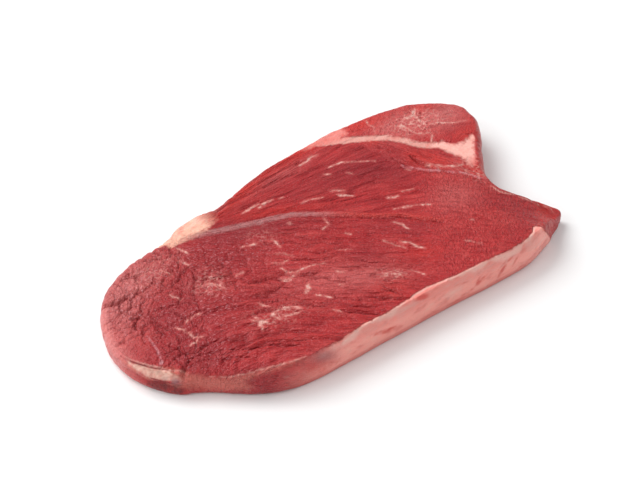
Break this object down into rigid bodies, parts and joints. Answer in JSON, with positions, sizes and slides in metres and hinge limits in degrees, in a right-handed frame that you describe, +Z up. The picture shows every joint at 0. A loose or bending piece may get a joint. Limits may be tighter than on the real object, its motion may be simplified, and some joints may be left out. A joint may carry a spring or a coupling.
{
  "type": "raw beef shoulder steak",
  "caption": "Raw boneless beef shoulder steak: a flat slab of lean meat with seams, marbling and a fat cap along one long side.",
  "frame": {"origin": "centre of the bounding box's bottom face, on the surface that the steak lies on", "axes": "+X along the steak's long axis from its rounded end to its notched end, -Y towards the fat cap, +Z up from the underside to the cut face"},
  "size_m": [0.261, 0.1402, 0.0214],
  "materials": {
    "raw_beef": null
  },
  "bodies": {
    "root": {"steak": "raw_beef"}
  },
  "joints": []
}
